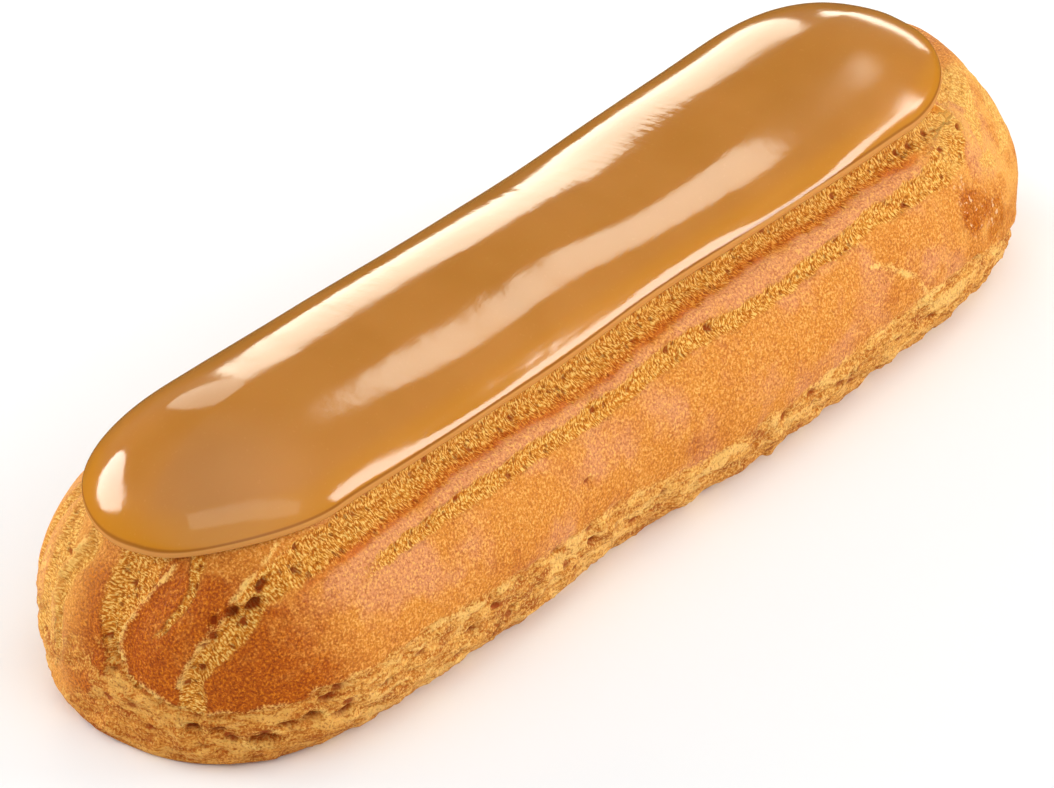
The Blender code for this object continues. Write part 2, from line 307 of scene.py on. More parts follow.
def form_point(x, degrees):
    """The point of the smooth bun at that x and angle."""
    angle = np.radians(degrees)
    sine, cosine = np.sin(angle), np.cos(angle)
    above = cosine > 0
    power = np.where(above, CROWN_POWER, UNDER_POWER)
    y = middle_y(x) - bun_half_width(x) * np.sign(sine) * np.abs(sine) ** (2 / power)
    crown = full_height(x) * bun_cap(x) ** CROWN_REACH
    reach = np.where(above, crown, SAG * bun_cap(x) ** UNDER_REACH)
    z = WAIST_Z + np.sign(cosine) * reach * np.abs(cosine) ** (2 / power)
    return np.stack([x, y, np.maximum(z, 0)], axis=-1)


def angle_of(points):
    """The angle in degrees of points near the smooth bun."""
    x, y, z = points.T
    from_middle = y - middle_y(x)
    across = np.clip(np.abs(from_middle) / np.maximum(bun_half_width(x), TINY), 0, 1)
    upper = np.arcsin(across ** (CROWN_POWER / 2))
    reach = SAG * np.maximum(bun_cap(x), 0.001) ** UNDER_REACH
    below = np.clip((WAIST_Z - z) / reach, 0, 1)
    lower = math.pi / 2 + np.arcsin(below ** (UNDER_POWER / 2))
    return -np.sign(from_middle) * np.degrees(np.where(z > WAIST_Z, upper, lower))


def icing_end_share(x):
    return end_share(x - ICING_MIDDLE_X, ICING_CAP, ICING_CAP, ICING_LENGTH / 2)


def icing_widest(x):
    return ICING_WIDTH / 2 * swelling(x, ICING_SWELLS)


def icing_half_width(x):
    return icing_widest(x) * np.sqrt(1 - np.minimum(icing_end_share(x), 1) ** 2)


def icing_reach(x, y):
    from_middle = y - middle_y(x) - ICING_MIDDLE_Y
    return np.hypot(icing_end_share(x), from_middle / icing_widest(x))


def icing_edge_power(x, y):
    """How square the icing's edge is."""
    return ICING_EDGE_POWER - ROUNDER_EDGE * ramp(y, *ROUNDER_EDGE_Y) * bump(x, *ROUNDER_EDGE_X)


def crown_sink(x, y):
    ridge = bump(y, middle_y(x), RIDGE_SPREAD)
    beyond_edge = ramp(icing_reach(x, y), *SINK_EDGE)
    return (CROWN_SINK + RIDGE_SINK * ridge) * (1 - beyond_edge)


# ---------------- meshes laid out in rings
def lengths_up_to(steps):
    return np.concatenate([[0], np.cumsum(steps)])


def outline(count, low, high, half_width):
    """x and the half-width's sign times its size at even steps round an outline, from +X by +Y."""
    turn = np.linspace(-math.pi / 2, math.pi / 2, 4001)
    x = (low + high) / 2 + (high - low) / 2 * np.sin(turn)
    step = np.hypot(np.diff(x), np.diff(half_width(x)))
    travelled = lengths_up_to(step)
    share = np.abs(np.linspace(-1, 1, count, endpoint=False))
    x = np.interp(share * travelled[-1], travelled, x)
    side = np.where(np.arange(count) < count // 2, -1, 1)
    return x, side * half_width(x)


def ring_mesh(name, rings):
    """A closed mesh through rings of points; the first and last ring close on a line."""
    rows, count = len(rings), len(rings[0])
    points = np.concatenate(rings)
    row, column = np.meshgrid(np.arange(rows - 1), np.arange(count), indexing="ij")
    here = (row * count + column).ravel()
    beside = (row * count + (column + 1) % count).ravel()
    faces = np.stack([here, here + count, beside + count, beside], axis=1)
    mesh = bpy.data.meshes.new(name)
    mesh.from_pydata(points.tolist(), [], faces.tolist())
    bm = bmesh.new()
    bm.from_mesh(mesh)
    bmesh.ops.remove_doubles(bm, verts=bm.verts, dist=2 * TINY)
    bmesh.ops.recalc_face_normals(bm, faces=bm.faces)
    bm.to_mesh(mesh)
    bm.free()
    for polygon in mesh.polygons:
        polygon.use_smooth = True
    return mesh


def vertex_vectors(mesh, kind):
    """Every vertex's place, "co", or its "normal"."""
    vectors = np.zeros(len(mesh.vertices) * 3, np.float32)
    mesh.vertices.foreach_get(kind, vectors)
    return vectors.reshape(-1, 3).astype(float)


def set_points(mesh, points):
    mesh.vertices.foreach_set("co", points.astype(np.float32).ravel())
    mesh.update()


def add_values(mesh, name, values, kind="FLOAT", field="value"):
    attribute = mesh.attributes.new(name, kind, "POINT")
    attribute.data.foreach_set(field, np.asarray(values, np.float32).ravel())


def even_rows(curve, breaks):
    """Parameters along a curve at even distances; breaks are (share of the length, rows up to it)."""
    parameter = np.linspace(0, 1, 4001)
    points = curve(parameter)
    travelled = lengths_up_to(norm(np.diff(points, axis=0), axis=1))
    travelled /= travelled[-1]
    shares = [0.0]
    for share, rows in breaks:
        shares += list(np.linspace(shares[-1], share, rows + 1)[1:])
    return np.interp(shares, travelled, parameter)


BUN_AROUND = 860
CROWN_ROWS = ((0.38, 9), (1.0, 60))
UNDER_ROWS = 30
BASE_ROWS = 4
HALVINGS = 45
BASE_ROUNDING = (0.018, 9)


def bun_rings():
    """Rings of the smooth bun: level lines of the crown, then of the wall, then the flat base."""
    x_out, y_out = outline(BUN_AROUND, -LENGTH / 2, LENGTH / 2, bun_half_width)
    x_in = np.clip(x_out, TALL_CAP - LENGTH / 2, LENGTH / 2 - LOW_CAP)

    def crown_curve(t):
        angle = t * math.pi / 2
        across = np.sin(angle) ** (2 / CROWN_POWER) * WIDTH / 2
        return np.stack([across, np.cos(angle) ** (2 / CROWN_POWER) * (HEIGHT - WAIST_Z)], axis=1)

    levels = np.cos(even_rows(crown_curve, CROWN_ROWS) * math.pi / 2) ** (2 / CROWN_POWER)
    rings = []
    for level in levels:
        low, high = np.zeros(len(x_out)), np.ones(len(x_out))
        for _ in range(HALVINGS):
            share = (low + high) / 2
            x = x_in + (x_out - x_in) * share
            inside = crown_share(x, y_out * share + middle_y(x)) > level
            low, high = np.where(inside, share, low), np.where(inside, high, share)
        if level == levels[0]:
            share = np.zeros(len(x_out))
        x = x_in + (x_out - x_in) * share
        y = y_out * share + middle_y(x)
        height = np.maximum(crown_share(x, y), 0)
        rings.append(np.stack([x, y, WAIST_Z + full_height(x) * height], axis=1))
    cap = np.maximum(bun_cap(x_out), 0.001)
    for down in np.linspace(0, 1, UNDER_ROWS + 1)[1:]:
        deep = np.clip(down * WAIST_Z / (SAG * cap**UNDER_REACH), 0, 1)
        inward = 1 - (1 - deep**UNDER_POWER) ** (1 / UNDER_POWER)
        rounding = BASE_ROUNDING[0] * down ** BASE_ROUNDING[1]
        x = x_out * (1 - rounding)
        y = y_out * (1 - inward) + middle_y(x_out)
        rings.append(np.stack([x, y, np.full(len(x), WAIST_Z * (1 - down))], axis=1))
    last = rings[-1]
    for share in np.linspace(1, 0, BASE_ROWS + 1)[1:]:
        x = x_in + (last[:, 0] - x_in) * share
        y = (last[:, 1] - middle_y(x_out)) * share + middle_y(x_out)
        rings.append(np.stack([x, y, np.zeros(len(x))], axis=1))
    return rings


LINE_STEPS = 6
LINE_SMOOTHINGS = 4
LINE_REACH = 5 * MM


def soften(rows, times):
    for _ in range(times):
        rows[1:-1] = (rows[:-2] + 2 * rows[1:-1] + rows[2:]) / 4


def trace(surface, side, end=()):
    """Rows (x, y, z, half-width, depth) in metres along a line on the smooth bun."""
    knots = [(*form_point(x * MM, degrees), half * MM, deep * MM) for x, degrees, half, deep in side]
    knots += [tuple(value * MM for value in knot) for knot in end]
    knots = np.array(knots)
    fine = np.linspace(0, len(knots) - 1, (len(knots) - 1) * LINE_STEPS + 1)
    rows = np.stack([np.interp(fine, np.arange(len(knots)), column) for column in knots.T], axis=1)
    soften(rows, LINE_SMOOTHINGS)
    for row in rows:
        row[:3] = surface.find_nearest(Vector(row[:3]))[0]
    return rows


def measure(points, normals, rows):
    """Where points lie by a line: (distance, length along it, side, half-width, depth)."""
    count = len(points)
    gap, place, side = np.full(count, 1.0), np.zeros(count), np.ones(count)
    low, high = rows[:, :3].min(axis=0) - LINE_REACH, rows[:, :3].max(axis=0) + LINE_REACH
    near = np.flatnonzero(np.all((points > low) & (points < high), axis=1))
    some, out = points[near], normals[near]
    best, nearest, left = np.full(len(some), 1.0), np.zeros(len(some)), np.ones(len(some))
    for index, (start, step) in enumerate(zip(rows[:-1, :3], np.diff(rows[:, :3], axis=0))):
        t = np.clip((some - start) @ step / (step @ step), 0, 1)
        offset = some - start - t[:, None] * step
        distance = norm(offset, axis=1)
        closer = distance < best
        best[closer] = distance[closer]
        nearest[closer] = index + t[closer]
        turned = np.cross(out[closer], step)
        left[closer] = np.where((offset[closer] * turned).sum(axis=1) > 0, 1, -1)
    gap[near], place[near], side[near] = best, nearest, left
    order = np.arange(len(rows))
    travelled = lengths_up_to(norm(np.diff(rows[:, :3], axis=0), axis=1))
    along = np.interp(place, order, travelled)
    return gap, along, side, np.interp(place, order, rows[:, 3]), np.interp(place, order, rows[:, 4])


def round_the_outline(x, y):
    """How far round the outline from the nose tip each point is, positive towards -Y."""
    x_out, y_out = outline(BUN_AROUND * 2, -LENGTH / 2, LENGTH / 2, bun_half_width)
    tree = kdtree.KDTree(len(x_out))
    for index, (at_x, at_y) in enumerate(zip(x_out, y_out)):
        tree.insert((at_x, at_y, 0), index)
    tree.balance()
    line = np.linspace(-LENGTH / 2, LENGTH / 2, 8001)
    line = LENGTH / 2 * np.sin(line / LENGTH * math.pi)
    step = np.hypot(np.diff(line), np.diff(bun_half_width(line)))
    travelled = np.interp(x_out, line, lengths_up_to(step))
    signed = -np.sign(y_out) * travelled
    level = y - middle_y(x)
    return np.array([signed[tree.find((at_x, at_y, 0))[1]] for at_x, at_y in zip(x, level)])


# ---------------- the crust
# How far the lines wander: (distance, over what length, which noise)
WANDERS = ((0.4 * MM, 5 * MM, 1), (0.22 * MM, 1.7 * MM, 2))
COMB_APART = 31 * MM
CREASE_SIDE = (0.9, 1.8)  # how far its colour spreads to either side, in half-widths
RIM_SIDE = (1.0, 1.7)  # how far its colour spreads on the low side and on the other, in half-widths
RIM_RISE = 1.6  # how far it rises from the skin, in half-widths
RIM_DROP = (0.9, 0.9 * MM)  # how deep the low side is, as a share of the rise, and how wide
UNDER_LEDGE = 2.2 * MM
LIP_ABOVE, LIP_WIDTH = 0.25 * MM, 0.4 * MM
SHARP_LEDGE = (0.5 * MM, 1.2 * MM)
SCUFFED_X, SCUFFED_Y, SCUFFED_Z = (-66 * MM, -60 * MM), (-2 * MM, 2 * MM), (9 * MM, 15 * MM)
MOTTLED_X = (51 * MM, 57 * MM)
HOLLOW_DEEPER = 1.25
# Relief in mm: (height, size of its features, which noise)
CRAGS = ((0.5, 4.2 * MM, 12), (0.36, 1.9 * MM, 13))
SKIN_RELIEF = ((0.14, 8 * MM, 16), (0.05, 2.4 * MM, 17))
FLAKE_SHAPE = (0.45, 0.45, 1.25)
FOOT = 1.3 * MM
NOSE_X, NOSE_Y, NOSE_Z = (-70 * MM, -52 * MM), (4 * MM, 11 * MM), (18 * MM, 25 * MM)
TIP_X, TIP_Z, TIP_REACH = 66 * MM, 17 * MM, (4 * MM, 9 * MM)
CHEEK_X, CHEEK_Y, CHEEK_REACH = -66 * MM, 14 * MM, (6 * MM, 13 * MM)
LOW_END_X = (40 * MM, 56 * MM)


class Bun:
    """The smooth bun's points, and what the marks on its crust are found with."""

    def __init__(self, mesh):
        self.points = vertex_vectors(mesh, "co")
        self.normals = vertex_vectors(mesh, "normal")
        faces = [tuple(polygon.vertices) for polygon in mesh.polygons]
        self.surface = BVHTree.FromPolygons(self.points.tolist(), faces)
        self.x, self.y, self.z = self.points.T
        self.steep = np.abs(angle_of(self.points))
        self.above = self.z > WAIST_Z
        self.clear = np.where(self.above, ramp(icing_reach(self.x, self.y), 0.97, 1.06), 1)
        shifts = [far * sample(noise.noise_vector, self.points, *rest) for far, *rest in WANDERS]
        self.shaken = self.points + sum(shifts)
        self.fray = self.noise(1.3 * MM, 4)
        self.lumps = self.noise(3.2 * MM, 3)
        self.ruffle = self.noise(0.8 * MM, 15)

    def nothing(self):
        return np.zeros(len(self.points))

    def noise(self, size, offset, shape=(1, 1, 1)):
        return noise_at(self.points * shape, size, offset)

    def by_line(self, side_knots, end_knots=()):
        return measure(self.shaken, self.normals, trace(self.surface, side_knots, end_knots))


# Each mark is a share at every point, from 0 to about 1.
def mark_grooves(bun):
    """Depth in mm, how porous, and the comb: places along and across each groove."""
    bun.groove, bun.porous = bun.nothing(), bun.nothing()
    bun.comb = np.zeros((len(bun.points), 3))
    for index, (side_knots, end_knots, openness) in enumerate(GROOVES):
        gap, along, side, half, deep = bun.by_line(side_knots, end_knots)
        across = gap / half * (1 + 0.22 * bun.fray + 0.16 * bun.lumps)
        bed = 1 - ramp(across, 0.45, 1.15)
        there = ramp(deep, 0.02 * MM, 0.3 * MM)
        open_share = openness * (1 - ramp(across, 0.7, 1.35)) * there
        first = open_share > bun.porous
        along_across = np.stack([along + COMB_APART * index, side * gap, bun.nothing()], axis=1)
        bun.comb[first] = along_across[first]
        bun.groove = np.maximum(bun.groove, deep / MM * bed)
        bun.porous = np.maximum(bun.porous, open_share)


def mark_creases(bun):
    """How much darker the crust is, sharp towards the rib below and fading into the groove above, and depth
    in mm.
    """
    bun.crease, bun.crease_depth = bun.nothing(), bun.nothing()
    for knots in CREASES:
        gap, _, side, half, deep = bun.by_line(knots)
        fade = np.where(side * np.sign(knots[0][1]) > 0, *CREASE_SIDE)
        crease_darkening = falloff(gap / half / fade) * ramp(deep, 0.05 * MM, 0.25 * MM)
        bun.crease = np.maximum(bun.crease, crease_darkening * (0.85 + 0.4 * bun.lumps))
        bun.crease_depth = np.maximum(bun.crease_depth, deep / MM * falloff(gap / half))


def mark_ribs(bun):
    bun.rib, bun.rib_height = bun.nothing(), bun.nothing()
    for knots in RIBS:
        gap, _, _, half, deep = bun.by_line(knots)
        bun.rib = np.maximum(bun.rib, falloff((gap / half) ** 2))
        bun.rib_height = np.maximum(bun.rib_height, deep / MM * falloff(gap / half))


def mark_rims(bun):
    bun.pale, bun.rim_height = bun.nothing(), bun.nothing()
    for side_knots, end_knots, low_side, rough in RIMS:
        gap, _, side, half, deep = bun.by_line(side_knots, end_knots)
        on_low = side == low_side
        ragged = 1 - 0.38 * rough + rough * (0.9 * bun.fray + 0.6 * bun.lumps)
        ragged = np.clip(ragged, 0.15, 1.3)
        pale = falloff(gap / half / np.where(on_low, *RIM_SIDE)) * ragged
        bun.pale = np.maximum(bun.pale, pale)
        rise = falloff(gap / half / RIM_RISE) * ragged
        drop = falloff(gap / RIM_DROP[1]) * RIM_DROP[0]
        bun.rim_height += deep / MM * np.where(on_low, -drop, rise)


def mark_torn_edge(bun):
    """The rough dough, how far under the edge it is, and the edge's lip."""
    way = round_the_outline(bun.x, bun.y)
    ledge = np.interp(way / MM, *zip(*LEDGE)) * MM
    ledge += 0.55 * MM * bun.noise(6 * MM, 5) + 0.5 * MM * bun.noise(2.4 * MM, 6)
    ledge += 0.3 * MM * bun.fray
    soft = np.interp(way / MM, *zip(*LEDGE_SOFTNESS)) * MM
    soft *= 1 + 0.7 * bun.noise(4 * MM, 22)
    bun.torn = 1 - ramp(bun.z, ledge - soft, ledge + 0.6 * soft)
    bun.under = ramp(ledge - bun.z, 0, UNDER_LEDGE)
    broken = ramp(bun.noise(3.4 * MM, 7), -0.3, 0.35)
    sharp = 1 - ramp(soft, *SHARP_LEDGE)
    bun.lip = bump(bun.z, ledge + LIP_ABOVE, LIP_WIDTH) * broken * sharp
    bun.porous *= 1 - bun.torn
    bun.groove *= 1 - bun.torn
    bun.crease *= 1 - bun.torn


def mark_scuffs(bun):
    """Scuffed skin low on the nose."""
    scuffed = (1 - ramp(bun.x, *SCUFFED_X)) * ramp(bun.y, *SCUFFED_Y)
    scuffed *= 1 - ramp(bun.z, *SCUFFED_Z)
    scuffed *= ramp(bun.lumps + 0.5 * bun.fray, -0.7, 0.3)
    bun.scuffed = scuffed
    bun.torn = np.maximum(bun.torn, 0.8 * scuffed)


def mark_mottles(bun):
    """Mottled places at the low end."""
    mottle = ramp(bun.x, *MOTTLED_X)
    mottle *= (1 - ramp(bun.steep, 64, 76)) * ramp(bun.steep, 30, 36)
    mottle *= ramp(bun.noise(5 * MM, 8) + 0.4 * bun.fray, -0.3, 0.1) * (1 - bun.torn)
    bun.mottle = mottle
    here = mottle > bun.porous
    bun.comb[here] = bun.points[here]
    bun.porous = np.maximum(bun.porous, 0.8 * mottle)


def mark_pits(bun):
    small = 1 - ramp(cells_at(bun.points, 1.15 * MM, 9), 0.14, 0.34)
    large = 1 - ramp(cells_at(bun.points, 2.6 * MM, 10), 0.1, 0.26)
    pit = np.maximum(small * 0.6, large) * ramp(bun.porous, 0.5, 0.85)
    flat_cells = cells_at(bun.points * [0.7, 0.7, 1.2], 2.5 * MM, 11)
    low = 1 - ramp(flat_cells + 0.1 * bun.fray, 0.1, 0.36)
    bun.pit = np.maximum(pit, low * bun.torn * 0.9)


def mark_hollows(bun):
    bun.hollow, bun.hollow_depth = bun.nothing(), bun.nothing()
    for at, degrees, long, high, deep in HOLLOWS:
        centre = form_point(at * MM, degrees)
        ahead = form_point((at + 0.5) * MM, degrees) - centre
        ahead /= norm(ahead)
        offset = bun.points - centre
        run = offset @ ahead
        across = norm(offset - run[:, None] * ahead, axis=1)
        size = np.hypot(run / (long / 2 * MM), across / (high / 2 * MM)) + 0.45 * bun.fray
        inside = 1 - ramp(size, 0.5, 1.15)
        bun.hollow = np.maximum(bun.hollow, inside)
        bun.hollow_depth = np.maximum(bun.hollow_depth, HOLLOW_DEEPER * inside * deep)
        bun.pale = np.maximum(bun.pale, 0.6 * bump(size, 1.35, 0.3) * (0.7 + bun.fray))


def crust_relief(bun):
    """How far each point rises from the smooth bun, in mm."""
    crags = sum(height * bun.noise(*rest) for height, *rest in CRAGS)
    flakes = 1 - 2 * np.abs(bun.noise(1.3 * MM, 14, FLAKE_SHAPE))
    skin = sum(height * bun.noise(*rest) for height, *rest in SKIN_RELIEF) + 0.035 * bun.ruffle
    height = skin + bun.rib_height - bun.groove - bun.crease_depth
    height += bun.rim_height * (1 - bun.hollow)
    height += bun.porous * (0.12 * bun.ruffle + 0.1 * bun.fray)
    height -= 0.14 * bun.mottle + 0.4 * bun.pit
    height *= bun.clear
    height += bun.torn * (crags - 0.62 + 0.3 * bun.under + 0.3 * flakes + 0.16 * bun.ruffle)
    height += 0.22 * bun.lip - bun.hollow_depth
    height -= np.where(bun.above, crown_sink(bun.x, bun.y), 0) / MM
    return height * ramp(bun.z, 0, FOOT)


def crust_looks(bun):
    """What the material reads at each point."""
    # The nose is browner: partly its own deeper browning, partly painted shade where it faces away from the
    # light.
    nose = (1 - ramp(bun.x, *NOSE_X)) * (1 - ramp(bun.y, *NOSE_Y))
    nose *= 1 - 0.45 * ramp(bun.z, *NOSE_Z)
    baked = 0.2 + 0.2 * ramp(bun.steep, 66, 90) + 0.95 * nose * (1 - 0.6 * bun.porous)
    baked += 0.3 * bun.noise(7 * MM, 18) + 0.16 * bun.noise(2.6 * MM, 19) + 0.35 * bun.scuffed
    gloss = bun.nothing()
    for at, degrees, radius, browner, glossier in SPOTS:
        distance = norm(bun.points - form_point(at * MM, degrees), axis=1)
        inside = 1 - ramp(distance + 0.8 * MM * bun.lumps, 0.5 * radius * MM, radius * MM)
        baked += browner * inside * (1 - bun.porous)
        gloss = np.maximum(gloss, glossier * inside * (1 - bun.porous))
    tip = 1 - ramp(np.hypot(bun.x - TIP_X, bun.z - TIP_Z), *TIP_REACH)
    # Pink: partly the crust's own salmon tone, partly painted sheen on the ribs' crests and the smooth
    # bands.
    rosy = ramp(bun.noise(7 * MM, 20) + 0.25 * bun.lumps, -0.6, 0.6) * (1 - nose) * (1 - tip)
    cheek = 1 - ramp(np.hypot(bun.x - CHEEK_X, bun.y - CHEEK_Y), *CHEEK_REACH)
    # Paler golden patches on the low end: partly their own tone, partly painted light on the end that faces
    # the light.
    low_end = ramp(bun.x, *LOW_END_X)
    low_end *= ramp(bun.steep, 28, 38) * (1 - ramp(bun.steep, 84, 96)) * (1 - gloss)
    low_end *= 0.9 * ramp(bun.noise(3.4 * MM, 24) + 0.35 * bun.fray, -0.25, 0.25)
    return {
        "baked": baked,
        "pink": 0.5 * bun.rib + rosy,
        "porous": bun.porous,
        "crease": bun.crease,
        "torn": bun.torn,
        "pale": np.maximum(bun.pale, 0.7 * bun.lip),
        "pit": np.maximum(bun.pit, bun.hollow),
        "gloss": gloss,
        "golden": np.maximum(np.maximum(bun.mottle, low_end), 0.65 * cheek),
    }


def make_bun():
    mesh = ring_mesh("choux_crust", bun_rings())
    bun = Bun(mesh)
    marks = (mark_grooves, mark_creases, mark_ribs, mark_rims, mark_torn_edge, mark_scuffs)
    for mark in (*marks, mark_mottles, mark_pits, mark_hollows):
        mark(bun)
    points = bun.points + bun.normals * crust_relief(bun)[:, None] * MM
    points[:, 2] = np.maximum(points[:, 2], 0)
    set_points(mesh, points)
    for name, values in crust_looks(bun).items():
        add_values(mesh, name, np.clip(values, 0, 1.2))
    add_values(mesh, "comb", bun.comb, "FLOAT_VECTOR", "vector")
    return mesh


# ---------------- the icing
ICING_AROUND = 700
ICING_TOP_ROWS = 44
ICING_RIM_ROWS = 16
ICING_SHOULDER = 0.86  # how far out the rows of the rounded edge begin
# The rows under the edge, (reach, height over the crown), and how many more lie under the icing
ICING_EDGE = ((0.998, 0.1 * MM), (0.99, -0.1 * MM), (0.972, -0.2 * MM))
ICING_UNDER_ROWS = 7
# How the poured top rises and falls along its near half: (x, height), all in mm
ICING_WAVES = (
    (-60, 0), (-50, 0), (-33, -0.34), (-25, -0.42), (-14, -0.29), (-7, -0.17), (4, 0.07), (9, 0.16),
    (12, 0.16), (16, 0.06), (24, -0.29), (28, -0.37), (32, -0.25), (36, -0.02), (41, 0.24), (45, 0.42),
    (49, 0.5), (54, 0.4), (60, 0.2), (66, 0),
)
WAVES_Y, WAVES_WIDTH = -6.5 * MM, 8.5 * MM
WAVE_SMOOTHINGS = 120
# Fine waves: (height in mm, size of its features, which noise, stretched how)
RIPPLES = ((0.06, 9 * MM, 21, (0.5, 1, 1)), (0.012, 4.5 * MM, 22, (1, 1, 1)))
FRAYED_X = ((-37 * MM, -30 * MM), (24 * MM, 32 * MM))
SATIN_X, SATIN_Y, SATIN_REACH = 47 * MM, -7 * MM, 8 * MM


def long_waves(x):
    fine = np.linspace(-80, 80, 641)
    heights = np.interp(fine, *zip(*ICING_WAVES))
    soften(heights, WAVE_SMOOTHINGS)
    return np.interp(x / MM, fine, heights)


def icing_rings():
    """Rings of the smooth icing: its top from the middle out, its rounded edge, and its underside."""
    half = ICING_LENGTH / 2
    low, high = ICING_MIDDLE_X - half, ICING_MIDDLE_X + half
    x_out, y_out = outline(ICING_AROUND, low, high, icing_half_width)
    x_in = np.clip(x_out, low + ICING_CAP, high - ICING_CAP)

    def ring(reach, rise):
        x = x_in + (x_out - x_in) * reach
        y = y_out * reach
        y = y + middle_y(x) + ICING_MIDDLE_Y
        level = rise - crown_sink(x, y)
        return crown_point(x, y) + crown_normal(x, y) * level[:, None]

    power = icing_edge_power(x_out, y_out)
    start = math.asin(ICING_SHOULDER ** (ICING_EDGE_POWER / 2))
    turns = np.linspace(start, math.pi / 2, ICING_RIM_ROWS)
    top_reaches = np.linspace(0, ICING_SHOULDER, ICING_TOP_ROWS, endpoint=False)
    rings = []
    for reach in (*top_reaches, *np.sin(turns) ** (2 / ICING_EDGE_POWER)):
        rings.append(ring(reach, ICING_GAP + ICING_THICKNESS * (1 - reach**power) ** (1 / power)))
    rings += [ring(reach, rise) for reach, rise in ICING_EDGE]
    rings += [ring(reach, ICING_GAP) for reach in np.linspace(0.94, 0, ICING_UNDER_ROWS)]
    return rings


def make_icing():
    mesh = ring_mesh("caramel_icing", icing_rings())
    smooth = vertex_vectors(mesh, "co")
    normals = vertex_vectors(mesh, "normal")
    x, y = smooth.T[:2]
    reach = icing_reach(x, y)
    top = normals[:, 2] > 0
    waves = sum(height * noise_at(smooth * shape, size, offset) for height, size, offset, shape in RIPPLES)
    waves += long_waves(x) * bump(y, WAVES_Y, WAVES_WIDTH)
    fade = top * (1 - ramp(reach, 0.93, 1.0))
    set_points(mesh, smooth + normals * (waves * fade * MM)[:, None])

    frayed = ramp(noise_at(smooth * [0.4, 1, 1], 9 * MM, 23), -0.1, 0.35)
    frayed *= 1 - ramp(reach, 0.6, 0.75)
    frayed *= ramp(x, *FRAYED_X[0]) * (1 - ramp(x, *FRAYED_X[1]))
    lean = np.degrees(np.arccos(np.clip((normals * crown_normal(x, y)).sum(axis=1), -1, 1)))
    add_values(mesh, "edge", np.clip(reach, 0, 1.2))
    add_values(mesh, "lean", lean)
    add_values(mesh, "frayed", frayed * top)
    add_values(mesh, "satin", bump(np.hypot(x - SATIN_X, y - SATIN_Y), 0, SATIN_REACH))
    return mesh


# ---------------- materials
def srgb(red, green, blue):
    """A colour given in the usual 0 to 255 numbers, as a shader takes it."""
    channels = [c / 255 for c in (red, green, blue)]
    linear = [c / 12.92 if c <= 0.04045 else ((c + 0.055) / 1.055) ** 2.4 for c in channels]
    return (*linear, 1)


class Nodes:
    """Short names for building the nodes of a material, or of the world."""

    def __init__(self, owner, shader="Principled BSDF"):
        owner.use_nodes = True
        self.owner = owner
        self.tree = owner.node_tree
        self.shader = self.tree.nodes[shader]

    def make(self, kind, **values):
        node = self.tree.nodes.new(kind)
        for key, value in values.items():
            setattr(node, key, value)
        return node

    def put(self, socket, value):
        if isinstance(value, bpy.types.NodeSocket):
            self.tree.links.new(value, socket)
        else:
            socket.default_value = value

    def fill(self, node, **values):
        """Puts values into a node's inputs; a _ in a name stands for a space."""
        for name, value in values.items():
            self.put(node.inputs[name.replace("_", " ")], value)

    def value(self, name):
        return self.make("ShaderNodeAttribute", attribute_name=name).outputs["Fac"]

    def vector(self, name):
        return self.make("ShaderNodeAttribute", attribute_name=name).outputs["Vector"]

    def place(self, kind="Object"):
        return self.make("ShaderNodeTexCoord").outputs[kind]

    def math(self, operation, a, b=0, c=0):
        node = self.make("ShaderNodeMath", operation=operation)
        for socket, value in zip(node.inputs, (a, b, c)):
            self.put(socket, value)
        return node.outputs[0]

    def scaled(self, vector, factors):
        node = self.make("ShaderNodeVectorMath", operation="MULTIPLY")
        self.put(node.inputs[0], vector)
        node.inputs[1].default_value = factors
        return node.outputs[0]

    def noise(self, vector, size, detail=2, rough=0.5, distortion=0):
        """Noise from 0 to 1 with features of that size in metres."""
        node = self.make("ShaderNodeTexNoise")
        self.fill(node, Vector=vector, Scale=1 / size, Detail=detail, Roughness=rough, Distortion=distortion)
        return node.outputs[0]

    def cells(self, vector, size):
        """How far the middle of the nearest cell is, with cells of that size in metres."""
        node = self.make("ShaderNodeTexVoronoi")
        self.fill(node, Vector=vector, Scale=1 / size)
        return node.outputs["Distance"]

    def ramp(self, value, low, high, out_low=0, out_high=1, way="SMOOTHSTEP"):
        """Maps low..high to out_low..out_high, smoothly and clamped."""
        node = self.make("ShaderNodeMapRange", interpolation_type=way)
        self.fill(node, Value=value, From_Min=low, From_Max=high, To_Min=out_low, To_Max=out_high)
        return node.outputs["Result"]

    def bump(self, height, distance, strength=1):
        node = self.make("ShaderNodeBump")
        self.fill(node, Height=height, Distance=distance, Strength=strength)
        return node.outputs["Normal"]

    # In a Mix node the sockets of every data type share their names, so colours are found by type.
    def mix(self, share, a, b, blend="MIX"):
        node = self.make("ShaderNodeMix", data_type="RGBA", blend_type=blend)
        factor = [s for s in node.inputs if s.name == "Factor" and s.type == "VALUE"][0]
        first, second = [s for s in node.inputs if s.type == "RGBA"]
        for socket, value in ((factor, share), (first, a), (second, b)):
            self.put(socket, value)
        return [s for s in node.outputs if s.type == "RGBA"][0]

    def layers(self, colour, *rows):
        """Lays colours over the first one; rows are (share, colour)."""
        for share, over in rows:
            colour = self.mix(share, colour, over)
        return colour

    def times(self, a, b, plus=None):
        return self.math("MULTIPLY", a, b) if plus is None else self.math("MULTIPLY_ADD", a, b, plus)


